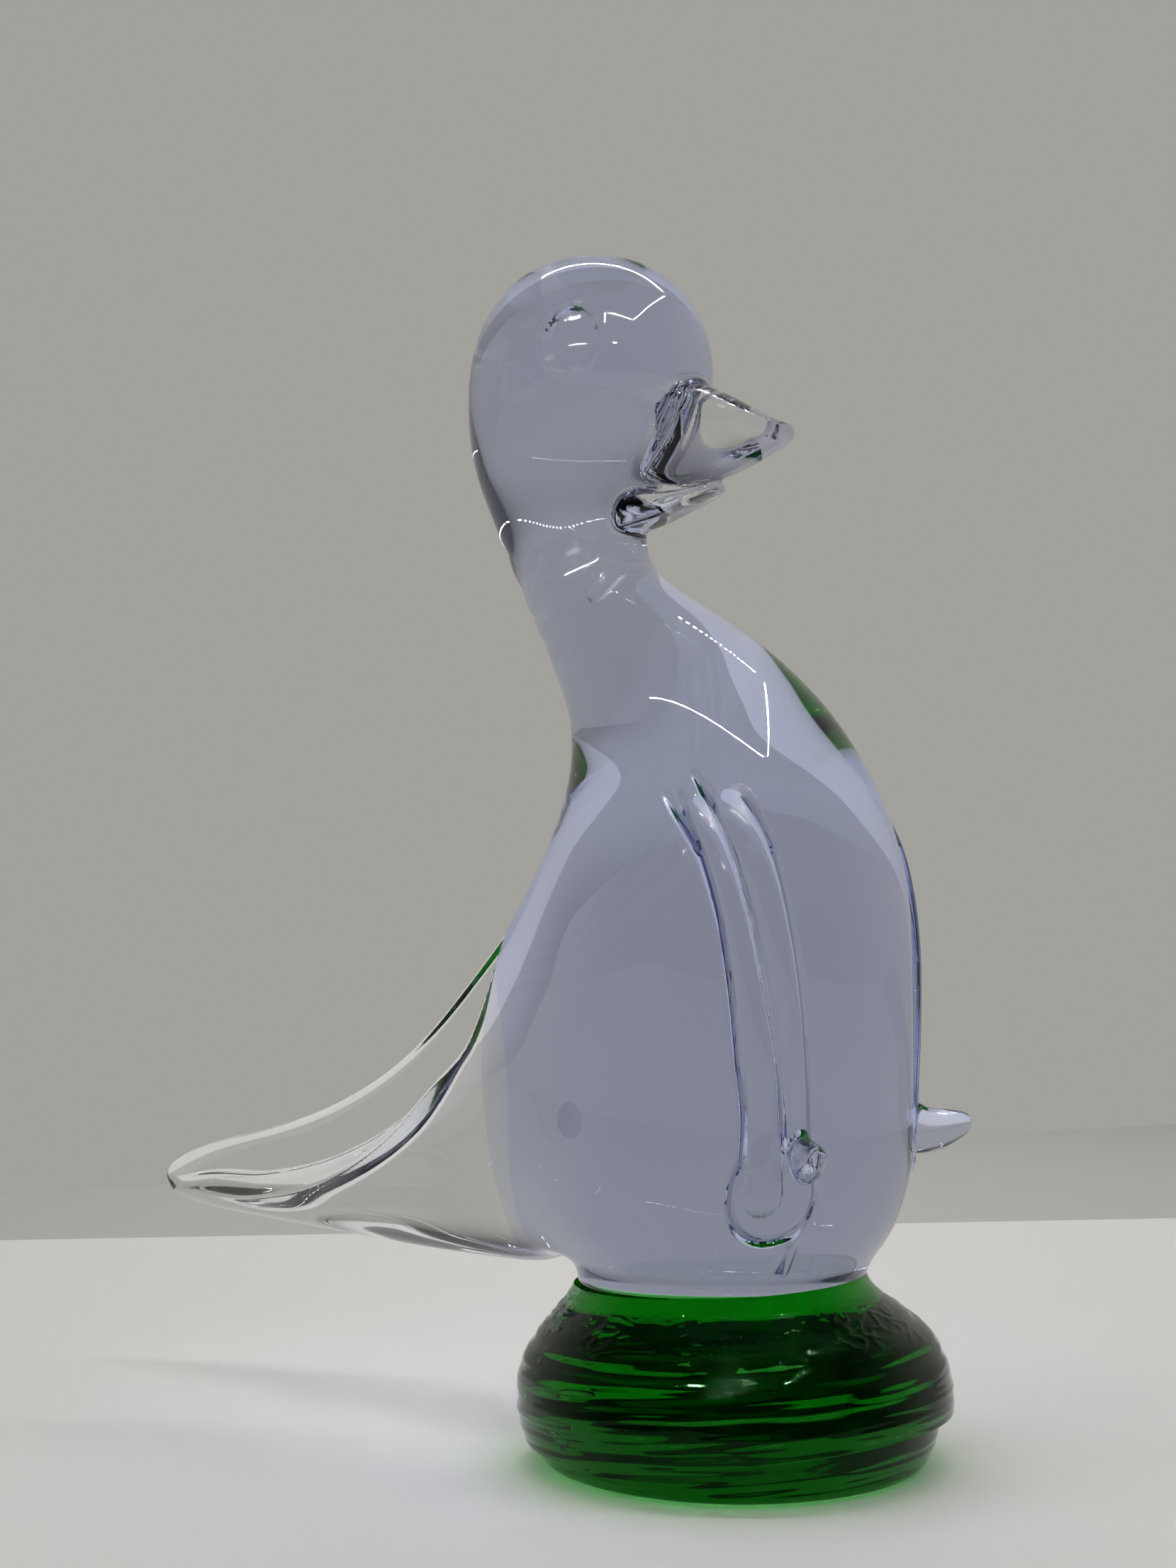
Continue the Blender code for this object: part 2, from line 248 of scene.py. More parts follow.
def glassMaterial(name, look):
    material = bpy.data.materials.new(name)
    material.use_nodes = True
    tree = material.node_tree
    shader = tree.nodes["Principled BSDF"]
    shader.inputs["Base Color"].default_value = (*white, 1)
    shader.inputs["Transmission Weight"].default_value = 1
    shader.inputs["Specular Tint"].default_value = (*look["gleam"], 1)
    place = tree.nodes.new("ShaderNodeTexCoord")
    wave = tree.nodes.new("ShaderNodeTexNoise")
    wave.inputs["Scale"].default_value = glassLook["waveSize"]
    wave.inputs["Detail"].default_value = glassLook["waveDetail"]
    tree.links.new(place.outputs["Object"], wave.inputs["Vector"])
    bump = tree.nodes.new("ShaderNodeBump")
    bump.inputs["Distance"].default_value = mm
    bump.inputs["Strength"].default_value = glassLook["waveHeight"]
    tree.links.new(wave.outputs["Fac"], bump.inputs["Height"])
    tree.links.new(bump.outputs["Normal"], shader.inputs["Normal"])
    smear = mapRange(tree, wave.outputs["Fac"], glassLook["smearSpan"], (0, look["smear"]))
    tree.links.new(smear, shader.inputs["Roughness"])
    # where two pieces are fused, light goes from one to the other without bending
    fused = tree.nodes.new("ShaderNodeAttribute")
    fused.attribute_name = "fused"
    bend = mapRange(tree, fused.outputs["Fac"], (0, 1), (glassLook["index"], 1))
    tree.links.new(bend, shader.inputs["IOR"])
    if min(look["skin"]) < 1:
        skin = mixColours(tree, fused.outputs["Fac"], look["skin"], white)
        tree.links.new(skin, shader.inputs["Base Color"])
    volume = tree.nodes.new("ShaderNodeVolumeAbsorption")
    volume.inputs["Color"].default_value = (*look["tint"], 1)
    volume.inputs["Density"].default_value = look["density"]
    tree.links.new(volume.outputs["Volume"], tree.nodes["Material Output"].inputs["Volume"])
    return material


glasses = {}  # each colour's glass, and what marks the faces where it is fused to the next piece
for colour in ("lilac", "clear", "green"):
    outside = glassMaterial(colour + "Glass", glassLook[colour])
    glasses[colour] = (outside, bpy.data.materials.new(colour + "Joint"))
lilacJoint = glasses["lilac"][1]
clearJoint = glasses["clear"][1]

# Duck without wings and bill
core = {
    "sides": 20,
    "smoothing": 4,
    "rings": [  # height, forward, half depth, half width
        (19.0, -2.3, 21.4, 21.4),
        (27.1, -2.3, 21.4, 21.4),
        (30.6, -2.2, 22.7, 22.7),
        (35.0, -1.8, 25.9, 25.9),
        (43.0, -1.2, 27.9, 27.7),
        (55.0, -1.0, 27.6, 27.6),
        (69.0, -1.0, 27.8, 27.8),
        (82.0, -1.1, 27.5, 27.5),
        (92.0, -1.5, 26.2, 26.0),
        (101.0, -2.2, 23.0, 22.7),
        (108.5, -4.6, 20.7, 20.0),
        (115.5, -9.2, 19.2, 17.6),
        (121.5, -14.8, 17.1, 15.0),
        (127.0, -20.9, 14.1, 12.8),
        (131.0, -25.6, 11.5, 11.2),
        (135.0, -28.1, 10.9, 10.7),
        (140.0, -29.3, 11.9, 11.8),
        (145.5, -29.4, 14.3, 13.8),
        (151.0, -27.9, 17.0, 16.4),
        (157.0, -26.0, 19.0, 18.4),
        (163.0, -25.3, 19.1, 18.9),
        (169.0, -25.1, 17.8, 17.8),
        (175.0, -25.0, 14.2, 14.2),
        (179.4, -25.0, 8.2, 8.2),
        (180.3, -25.0, 2.6, 2.6),
    ],
    "tailRoot": (30.0, 92.5),  # the tail is pulled from the faces between these heights
    "tailColumns": 3,  # and this many to each side
    "torsoForward": -1.0,
    "tailSteps": [  # forward, low edge, high edge, half thickness
        (-32.0, 25.8, 88.0, 16.5),
        (-38.0, 25.7, 79.4, 13.8),
        (-46.5, 25.8, 69.6, 12.0),
        (-58.0, 26.1, 57.4, 10.6),
        (-72.0, 26.9, 48.4, 9.2),
        (-88.0, 27.9, 42.6, 7.6),
        (-100.5, 28.4, 40.0, 6.0),
        (-108.2, 30.0, 36.6, 3.8),
    ],
    "tipBulge": 3.2,
    # the tail's upper edge is squeezed to a flat fin: forward, how far down it goes
    "finSteps": [
        (-34.5, 0.0), (-36.0, 8.0), (-38.0, 12.0), (-41.0, 13.5), (-48.0, 12.0),
        (-60.0, 10.4), (-85.0, 8.2), (-103.0, 5.6), (-109.0, 4.0),
    ],
    "finTop": 95.0,  # what lies higher is left alone
    "finHalf": 2.7,
    "finPower": 3,  # how sharply it goes over into its flat sides
    "finRound": (3.2, 1.0),  # how far below and above its lower border the squeeze fades
    "waveSize": 17.0,  # slow unevenness of the hand-made surface
    "waveHeight": 0.22,
    "waveFrom": (27.0, 36.0),  # heights between which it sets in
}


def pullTail(bm):
    # draws the faces at the duck's back out into the tail, step by step
    low, high = (height * mm for height in core["tailRoot"])
    halfAngle = math.radians(360 / core["sides"] * core["tailColumns"])
    faces = []
    for face in bm.faces:
        middle = face.calc_center_median()
        angle = math.atan2(middle.y, core["torsoForward"] * mm - middle.x)
        if len(face.verts) == 4 and low < middle.z < high and abs(angle) < halfAngle:
            faces.append(face)
    reach = max(abs(vert.co.y) for face in faces for vert in face.verts)
    heights = [vert.co.z for face in faces for vert in face.verts]
    middleHeight = (min(heights) + max(heights)) / 2
    halfHeight = (max(heights) - min(heights)) / 2
    last = None
    for forward, edgeLow, edgeHigh, thick in core["tailSteps"]:
        made = bmesh.ops.extrude_face_region(bm, geom=faces)
        bmesh.ops.delete(bm, geom=faces, context="FACES")
        faces = [item for item in made["geom"] if isinstance(item, bmesh.types.BMFace)]
        verts = [item for item in made["geom"] if isinstance(item, bmesh.types.BMVert)]
        size = Vector((1, thick, (edgeHigh - edgeLow) / 2)) * mm
        centre = Vector((forward, 0, (edgeHigh + edgeLow) / 2)) * mm
        if last is None:
            for vert in verts:
                side = vert.co.y / reach
                rise = (vert.co.z - middleHeight) / halfHeight
                bulge = (1 - side * side) * (1 - rise * rise)
                vert.co.x = centre.x - core["tipBulge"] * mm * bulge
                vert.co.y = size.y * side * math.sqrt(1 - rise * rise / 2)
                vert.co.z = centre.z + size.z * rise * math.sqrt(1 - side * side / 2)
        else:
            oldSize, oldCentre = last
            scale = (1, size.y / oldSize.y, size.z / oldSize.z)
            bmesh.ops.scale(bm, vec=scale, space=Matrix.Translation(-oldCentre), verts=verts)
            bmesh.ops.translate(bm, vec=centre - oldCentre, verts=verts)
        last = (size, centre)


def between(rows, at, column=1):
    # value of a column at a place along the first one, on a smooth curve through the rows
    if (at - rows[0][0]) * (rows[-1][0] - rows[0][0]) <= 0:
        return rows[0][column]
    for i in range(len(rows) - 1):
        start, end = rows[i], rows[i + 1]
        if (at - start[0]) * (at - end[0]) <= 0:
            before, after = rows[max(i - 1, 0)], rows[min(i + 2, len(rows) - 1)]
            span = end[0] - start[0]
            share = (at - start[0]) / span
            slope0 = (end[column] - before[column]) / (end[0] - before[0]) * span
            slope1 = (after[column] - start[column]) / (after[0] - start[0]) * span
            square, cube = share ** 2, share ** 3
            return ((2 * cube - 3 * square + 1) * start[column] + (cube - 2 * square + share) * slope0
                    + (3 * square - 2 * cube) * end[column] + (cube - square) * slope1)
    return rows[-1][column]


def squeezeFin(bm):
    half, power = core["finHalf"], core["finPower"]
    below, above = core["finRound"]
    tops = [(step[0], step[2]) for step in core["tailSteps"]]
    for vert in bm.verts:
        forward, side, height = vert.co / mm
        if forward > core["finSteps"][0][0] or height > core["finTop"]:
            continue
        border = between(tops, forward) - between(core["finSteps"], forward)
        share = fade(border - below, border + above, height)
        if share > 0 and side != 0:
            wide = abs(side) / half
            thin = half * wide / (1 + wide ** power) ** (1 / power)
            vert.co.y = math.copysign(abs(side) + (thin - abs(side)) * share, side) * mm


def unevenness(bm):
    bm.normal_update()
    moves = []
    for vert in bm.verts:
        height = noise.noise(vert.co / (core["waveSize"] * mm)) * core["waveHeight"] * mm
        moves.append(vert.normal * height * fade(*core["waveFrom"], vert.co.z / mm))
    for vert, move in zip(bm.verts, moves):
        vert.co += move


def duckCore():
    bm = bmesh.new()
    loops = []
    for height, forward, depth, width in core["rings"]:
        middle = Vector((forward, 0, height)) * mm
        lengthwise, sideways = Vector((depth, 0, 0)) * mm, Vector((0, width, 0)) * mm
        loops.append(ring(bm, core["sides"], middle, lengthwise, sideways))
    loft(bm, loops)
    pullTail(bm)
    bmesh.ops.recalc_face_normals(bm, faces=bm.faces)
    obj = newObject("core", bm)
    soften(obj, core["smoothing"])
    helpers.append(obj)
    applyModifiers(obj)
    bm = openMesh(obj)
    squeezeFin(bm)
    unevenness(bm)
    closeMesh(bm, obj)
    return obj


plainDuck = duckCore()
print("duck shaped:", len(plainDuck.data.polygons), "faces")

# Where the pieces part: a place on each plane and its lean in degrees
joints = {
    "base": {"point": (-2.3, 0, 27.1), "lean": 3.3},
    "neck": {"point": (-27.0, 0, 129.8), "lean": 21.0},
    "tail": {"point": (-35.0, 0, 50.0), "lean": -4.0, "top": 100.0},
    "lip": {"point": (0, 0, 5.3), "lean": 5.4, "turn": 3.0},
}


def upNormal(joint):
    # leant so that the plane is higher at the front
    return turned(joint.get("turn", 0), "Z") @ turned(-joint["lean"], "Y") @ Vector((0, 0, 1))


def shifted(joint, normal, distance):
    return Vector(joint["point"]) + normal * distance


# Wings
wings = {
    "apart": 4.9,  # from the middle of one rib to the other's
    "steps": [  # height, degrees forward of straight sideways, lift from the body
        (106.0, 20.0, -4.0),
        (101.5, 24.0, -2.4),
        (96.5, 28.5, -0.9),
        (91.0, 33.0, -0.1),
        (83.0, 37.4, 0.1),
        (73.0, 41.0, 0.2),
        (63.0, 44.0, 0.1),
        (54.0, 45.8, -0.1),
        (46.5, 45.8, 0.0),
        (39.5, 45.0, 0.2),
        (32.0, 44.5, 0.2),
    ],
    "rear": [  # height, half width of the rib
        (101.5, 1.0), (96.5, 1.8), (91.0, 1.8), (83.0, 1.8), (73.0, 2.0), (63.0, 2.4), (54.0, 2.3),
        (47.0, 2.7), (43.4, 3.0),
    ],
    "front": [
        (101.5, 1.4), (96.5, 2.5), (91.0, 2.6), (83.0, 2.4), (73.0, 2.2), (63.0, 1.8), (54.0, 1.5),
        (46.5, 1.9),
    ],
    "ribEdge": (0.97, 0.243),  # where a rib's round ends and its flank begins, and its rise there
    "flank": 3.5,  # how steep a flank is
    "moat": (1.3, 0.6),  # depth and half width of the groove around a rib
    "moatPlace": 0.7,  # half widths of it out from the rib to its middle
    "moatFrom": (-0.6, 1.4),  # rises of a rib over the body between which its groove sets in
    # the glass pooled at a wing's lower end: place from the strip's middle, height, half sizes, rise
    "pool": (-0.6, 43.2, 5.8, 6.4, 1.3),
    "poolEdge": 0.96,
    "poolMoat": 0.8,  # depth of its groove as a share of a rib's
    "poolTop": 53.0,  # it isn't looked for above this height
    "meet": 0.16,  # how softly rib and groove run into each other
    "reach": 7.6,  # half width of the strip of glass that holds the ribs
    "ends": (106.0, 31.5),
    "bed": 0.8,  # the strip lies this deep under the body's surface
    "grid": (120, 190, 30),  # columns, rows and smoothing passes of a strip
    "crowding": 0.055,  # how far its rows are drawn towards its two ends
    "roomGrid": (40, 80, 5),
    "roomGrow": 0.02,
    "roomRoof": 6.0,  # the room that a strip takes up reaches this far out of the body
    "bodyRadius": 27.0,
    "lookFrom": 60.0,  # the surface is looked for from this far outside its middle
    "tabSides": 12,
    "tabSmoothing": 3,
    "tabHeight": 48.0,
    "tabAngle": 46.3,
    "tabBed": 0.5,  # the tab reaches this deep under the body's surface
    "tabSteps": [  # distance out of the body, half width, half height, rise of its middle
        (-2.4, 1.9, 4.6, 1.4),
        (0.8, 1.9, 4.2, 1.0),
        (2.4, 2.0, 3.6, 0.4),
        (4.6, 2.1, 3.2, 0.5),
        (6.8, 2.1, 2.6, 0.9),
        (8.6, 1.6, 1.8, 1.3),
        (9.5, 0.9, 0.9, 1.5),
    ],
    # tool marks at a wing's top: place from the strip's middle and height at both ends, half width, depths
    "marks": [
        ((-6.6, 98.5), (-5.0, 91.8), 0.6, 0.5, 2.6),
        ((-1.0, 101.5), (-0.6, 97.0), 0.55, 0.6, 2.0),
        ((4.6, 99.0), (5.6, 92.0), 0.6, 0.3, 1.6),
    ],
    # the drip that runs from the pool down to the base, in the same terms
    "drip": ((4.2, 41.0), (2.8, 31.0), 0.9, 0.5, 1.1),
}


def surfacePoint(height, degrees, side):
    # a place on the smooth body, and the way out of it there
    rows = [row for row in core["rings"] if row[0] <= height]
    low = rows[-1]
    high = core["rings"][len(rows)]
    share = (height - low[0]) / (high[0] - low[0])
    forward, depth, width = (low[i] + (high[i] - low[i]) * share for i in (1, 2, 3))
    angle = math.radians(degrees)
    shrink = settled(core["sides"])
    out = Vector((math.sin(angle) / depth, side * math.cos(angle) / width, 0)).normalized()
    lengthwise, sideways = depth * shrink * math.sin(angle), side * width * shrink * math.cos(angle)
    return Vector((forward + lengthwise, sideways, height)), out


def ribHeight(name, centre, across, height):
    # how high a rib stands over a place on its strip, and how deep the groove beside it is there
    rows = wings[name]
    held = min(max(height, rows[-1][0]), rows[0][0])
    radius = between(rows, held)
    lift = between(wings["steps"], height, 2)
    slope = between(wings["steps"], height + 1) - between(wings["steps"], height - 1)
    lean = math.cos(math.atan(math.radians(slope) * wings["bodyRadius"] / 2))
    distance = math.hypot((across - centre) * lean, height - held)
    edge, edgeRise = wings["ribEdge"]
    if distance < radius * edge:
        top = lift + math.sqrt(radius ** 2 - distance ** 2)
    else:
        top = lift + radius * edgeRise - (distance - radius * edge) * wings["flank"]
    depth, width = wings["moat"]
    shown = fade(*wings["moatFrom"], lift + radius)
    away = (distance - radius - width * wings["moatPlace"]) / width
    return top, depth * shown * math.exp(-(away ** 2))


def poolHeight(across, height):
    # the same for the pool
    middle, level, wide, tall, proud = wings["pool"]
    reach = math.hypot((across - middle) / wide, (height - level) / tall)
    edge = wings["poolEdge"]
    if reach < edge:
        top = proud * math.sqrt(1 - reach ** 2)
    else:
        top = proud * math.sqrt(1 - edge ** 2) - (reach - edge) * wide * wings["flank"]
    depth, width = wings["moat"]
    away = ((reach - 1) * wide - width) / width
    return top, depth * wings["poolMoat"] * math.exp(-(away ** 2))


def lineDepth(line, across, height):
    # depth of a tool mark, or height of the drip, at a place on the strip
    (across0, height0), (across1, height1), width, depth0, depth1 = line
    along = Vector((across1 - across0, height1 - height0))
    away = Vector((across - across0, height - height0))
    inside = min(max(away.dot(along) / along.length_squared, 0), 1)
    distance = (away - along * inside).length
    return (depth0 + (depth1 - depth0) * inside) * math.exp(-((distance / width) ** 2))


def reliefAt(across, height):
    # how far the strip's surface stands out of the body
    half = wings["apart"] / 2
    found = [ribHeight("rear", -half, across, height), ribHeight("front", half, across, height)]
    if height < wings["poolTop"]:
        found.append(poolHeight(across, height))
    ground = -max(groove for top, groove in found)
    for mark in wings["marks"]:
        ground -= lineDepth(mark, across, height)
    ground += lineDepth(wings["drip"], across, height)
    tops = [ground] + [top for top, groove in found]
    highest = max(tops)
    meet = wings["meet"]
    return highest + meet * math.log(sum(math.exp((top - highest) / meet) for top in tops))


def stripSpot(surface, side, across, height):
    # the body's surface at a place of the strip, found by looking inwards from outside
    point, out = surfacePoint(height, between(wings["steps"], height), side)
    sideways = Vector((out.y, -out.x, 0)) * side
    spot = point + sideways * across
    radius = wings["bodyRadius"]
    axis = Vector((point.x - out.x * radius, point.y - out.y * radius, height))
    way = (spot - axis).normalized()
    return surface.ray_cast((axis + way * wings["lookFrom"]) * mm, -way)[0]


def wingStrip(name, surface, side, grow=0.0, roof=None):
    # the strip that holds a wing's ribs; with a roof, it is the room that the strip takes up in the body
    columns, rows, passes = wings["grid"] if roof is None else wings["roomGrid"]
    top, bottom = wings["ends"]
    top, bottom = top + grow, bottom - grow
    bm = bmesh.new()
    bmesh.ops.create_grid(bm, x_segments=columns, y_segments=rows, size=1)
    places = {}
    for vert in bm.verts:
        across = vert.co.x * (wings["reach"] + grow)
        share = (vert.co.y + 1) / 2
        share -= wings["crowding"] * math.sin(2 * math.pi * share)
        height = bottom + (top - bottom) * share
        places[vert] = (across, height)
        vert.co = stripSpot(surface, side, across, height)
    inner = [vert for vert in bm.verts if not vert.is_boundary]
    for i in range(passes):
        bmesh.ops.smooth_vert(
            bm, verts=inner, factor=halfway, use_axis_x=True, use_axis_y=True, use_axis_z=True)
    bmesh.ops.recalc_face_normals(bm, faces=bm.faces)
    if sum(face.normal.dot(face.calc_center_median() * Vector((1, 1, 0))) for face in bm.faces) < 0:
        bmesh.ops.reverse_faces(bm, faces=bm.faces)
    bm.normal_update()
    skin = list(bm.faces)
    outward = {vert: vert.normal.copy() for vert in bm.verts}
    made = bmesh.ops.extrude_face_region(bm, geom=skin, use_keep_orig=True)
    lower = [item for item in made["geom"] if isinstance(item, bmesh.types.BMVert)]
    for vert in lower:
        vert.co -= vert.normal * (wings["bed"] + grow) * mm
    for vert, (across, height) in places.items():
        lift = reliefAt(across, height) if roof is None else roof
        vert.co += outward[vert] * lift * mm
    for face in bm.faces:
        face.material_index = 1
    for face in skin:
        face.material_index = 0 if roof is None else 1
    bmesh.ops.recalc_face_normals(bm, faces=bm.faces)
    return newObject(name, bm, glasses["lilac"])


def tabForm(name, side, bed):
    bm = bmesh.new()
    root, out = surfacePoint(wings["tabHeight"], wings["tabAngle"], side)
    sideways = Vector((out.y, -out.x, 0)) * side
    loops = []
    for distance, width, tall, rise in wings["tabSteps"]:
        point = root + out * distance + sideways * wings["apart"] / 2 + Vector((0, 0, rise))
        across, along = sideways * width * mm, Vector((0, 0, tall)) * mm
        loops.append(ring(bm, wings["tabSides"], point * mm, across, along))
    loft(bm, loops)
    form = newObject(name, bm, glasses["lilac"])
    helpers.append(form)
    soften(form, wings["tabSmoothing"])
    cut(form, bed)
    return applyModifiers(form)


def wingForm(name, surface, side, tabBed):
    wing = wingStrip(name, surface, side)
    cut(wing, tabForm(name + "Tab", side, tabBed), "UNION")
    applyModifiers(wing)
    room = wingStrip(name + "Room", surface, side, grow=wings["roomGrow"], roof=wings["roomRoof"])
    helpers.append(room)
    return wing, room


# Bill
bill = {
    "sides": 16,
    "squareness": 0.55,
    "smoothing": 2,
    "upper": [  # forward, low edge, high edge, half width below, half width above
        (-17.0, 144.4, 162.6, 5.0, 7.0),
        (-6.5, 144.4, 160.4, 3.6, 6.4),
        (-1.0, 145.5, 157.8, 2.8, 5.9),
        (4.2, 147.7, 154.9, 2.2, 4.9),
        (8.0, 149.6, 153.4, 1.8, 3.3),
        (9.9, 150.6, 152.5, 1.0, 1.9),
    ],
    "lower": [
        (-21.0, 136.8, 143.9, 6.2, 6.4),
        (-13.0, 139.4, 143.9, 5.2, 5.8),
        (-9.0, 141.0, 144.0, 4.4, 5.0),
        (-5.0, 142.4, 144.4, 3.2, 3.9),
        (-1.8, 143.5, 145.1, 1.8, 2.4),
    ],
    "mouth": (-9.0, 0.0, 144.2),
    "mouthRise": 8.3,  # degrees
    "blockSize": 60.0,
    "reach": 1.2,  # glass of the face this close to the bill belongs to it
    "bed": 0.5,  # and as deep as this in the head
    "room": (0.3, 0.02),  # how far the room for it in the head goes past its skin, and past its root
    "apart": 0.1,  # between its two halves
}


def billForm(name, steps, grow=0.0):
    bm = bmesh.new()
    loops = []
    for forward, low, high, widthLow, widthHigh in steps:
        middle = Vector((forward, 0, (low + high) / 2)) * mm
        loop = ring(bm, bill["sides"], middle, Vector((0, 1, 0)) * mm, Vector((0, 0, 1)) * mm)
        for vert in {vert for edge in loop for vert in edge.verts}:
            side = vert.co.y / mm
            rise = (vert.co.z - middle.z) / mm
            stretch = 1 / max(abs(side), abs(rise)) ** bill["squareness"]
            width = widthLow + (widthHigh - widthLow) * (rise * stretch + 1) / 2 + grow
            vert.co.y = side * stretch * width * mm
            vert.co.z = middle.z + rise * stretch * ((high - low) / 2 + grow) * mm
        loops.append(loop)
    loft(bm, loops)
    obj = newObject(name, bm, glasses["clear"])
    helpers.append(obj)
    soften(obj, bill["smoothing"])
    return applyModifiers(obj)


def aboveMouth():
    # a block that stands on the plane between the bill's halves
    bm = bmesh.new()
    bmesh.ops.create_cube(bm, size=bill["blockSize"] * mm)
    place = turned(-bill["mouthRise"], "Y").to_4x4()
    upward = place.to_3x3() @ Vector((0, 0, bill["blockSize"] / 2))
    place.translation = (Vector(bill["mouth"]) + upward) * mm
    bmesh.ops.transform(bm, matrix=place, verts=bm.verts)
    block = newObject("aboveMouth", bm, [clearJoint])
    helpers.append(block)
    return block


# Head with its bill, in one skin
head = {
    "voxel": 0.3,
    "from": 117.0,  # it is made with the neck from this height up
    "calm": 30,  # smoothing passes after the remesh
    "melt": 420,  # and those that run bill and face into each other
    "meltRoot": (-19.0, -15.0, 0.0, 4.0),  # forward places between which they do
    "meltHeights": (133.0, 137.0),
    "meltPush": (0.0, 0.25),  # outward moves between which they take hold
    "middle": (-25.4, 0.0, 161.5),
    "eyeForward": 23.5,
    "eyeRise": 13.6,
    "eyeHalf": (4.1, 5.1),
    "eyeTurn": 17.0,
    "eyeDepth": 1.3,
    "eyeEdge": 0.82,  # where its wall begins, as a share of the eye
    "eyeRim": (0.25, 0.1, 1.08),  # the rim's height, and its half width and place as shares of the eye
    "eyeReach": 2,  # past so many times the eye nothing moves
    "eyeSide": 10.0,  # an eye lies further than this out of the head's middle
    "pinch": [(-11.2, -10.5, 157.4), (-6.4, -4.6, 160.2), (-9.3, -8.5, 149.8)],
    "pinchDepth": 1.7,
    "pinchReach": 8.0,
    "pinchPower": 0.8,  # below 1 its walls are steeper at the rim
    "strokeSteps": 8,
    "strokePower": 1.3,  # above 1 a groove runs out softly at its sides
    # grooves: from, to, half width, depth at each end
    "neck": [
        ((-17.3, -11.3, 127.8), (-16.3, -6.0, 131.8), 1.2, 1.9, 0.7),
        ((-22.0, -9.0, 137.0), (-19.0, -6.5, 136.0), 0.7, 0.5, 0.3),
        ((-18.5, -6.5, 134.8), (-17.0, -5.5, 132.2), 0.7, 0.7, 0.4),
        ((-40.0, 3.0, 138.5), (-34.5, -9.0, 134.5), 1.5, 1.1, 0.1),
        ((-37.5, 3.0, 132.8), (-32.0, -9.5, 129.0), 1.4, 1.2, 0.1),
        ((-36.0, 3.0, 128.3), (-29.0, -11.0, 124.5), 1.4, 0.9, 0.1),
        ((-33.5, 3.0, 124.0), (-26.0, -12.0, 120.2), 1.4, 0.7, 0.1),
    ],
}


def stroke(bm, start, end, width, startDepth, endDepth):
    # a V groove pressed along the surface from one place to another, with its own depth at each end
    surface = BVHTree.FromBMesh(bm)
    start, end = Vector(start), Vector(end)
    steps = head["strokeSteps"]
    found = [surface.find_nearest(start.lerp(end, i / steps) * mm) for i in range(steps + 1)]
    line = [hit[0] / mm for hit in found]
    inwards = -sum((hit[1] for hit in found), Vector()).normalized()
    reach = (line[-1] - line[0]).length / 2 + width * 2
    moves = []
    for vert in bm.verts:
        spot = vert.co / mm
        if (spot - line[steps // 2]).length > reach:
            continue
        nearest = []
        for i in range(steps):
            along = line[i + 1] - line[i]
            inside = min(max((spot - line[i]).dot(along) / max(along.length_squared, tiny), 0), 1)
            nearest.append(((spot - line[i] - along * inside).length, (i + inside) / steps))
        distance, share = min(nearest)
        if distance < width:
            depth = startDepth + (endDepth - startDepth) * share
            depth *= (1 - distance / width) ** head["strokePower"]
            moves.append((vert, inwards * depth * mm))
    for vert, move in moves:
        vert.co += move


def pinch(bm, corners, depth):
    # a three-cornered dent with a point at its bottom
    surface = BVHTree.FromBMesh(bm)
    found = [surface.find_nearest(Vector(corner) * mm) for corner in corners]
    a, b, c = (hit[0] / mm for hit in found)
    inwards = -sum((hit[1] for hit in found), Vector()).normalized()
    flat = (b - a).cross(c - a)
    size = flat.dot(inwards)
    moves = []
    for vert in bm.verts:
        spot = vert.co / mm
        if (spot - (a + b + c) / 3).length > head["pinchReach"]:
            continue
        shares = [(q - p).cross(spot - p).dot(inwards) / size for p, q in ((a, b), (b, c), (c, a))]
        if min(shares) > 0:
            moves.append((vert, inwards * depth * (min(shares) * 3) ** head["pinchPower"] * mm))
    for vert, move in moves:
        vert.co += move


def markNeck(obj):
    bm = openMesh(obj)
    for mark in head["neck"]:
        bm.normal_update()
        stroke(bm, *mark)
    closeMesh(bm, obj)


def pressEye(bm, side):
    # an oval dimple with a flat floor and a raised rim
    forward, rise = math.radians(head["eyeForward"]), math.radians(head["eyeRise"])
    level = math.cos(rise)
    out = Vector((math.sin(forward) * level, side * math.cos(forward) * level, math.sin(rise)))
    across = out.cross(Vector((0, 0, 1))).normalized() * side
    upward = turned(head["eyeTurn"] * side, out) @ across.cross(out).normalized() * side
    across = upward.cross(out)
    middle = Vector(head["middle"])
    rimHeight, rimWidth, rimPlace = head["eyeRim"]
    bm.normal_update()
    moves = []
    for vert in bm.verts:
        away = vert.co / mm - middle
        if away.dot(out) < head["eyeSide"]:
            continue
        apart = math.hypot(away.dot(across) / head["eyeHalf"][0], away.dot(upward) / head["eyeHalf"][1])
        if apart < head["eyeReach"]:
            depth = head["eyeDepth"] * (1 - fade(head["eyeEdge"], 1.0, apart))
            rim = rimHeight * math.exp(-(((apart - rimPlace) / rimWidth) ** 2))
            moves.append((vert, vert.normal * (rim - depth) * mm))
    for vert, move in moves:
        vert.co += move


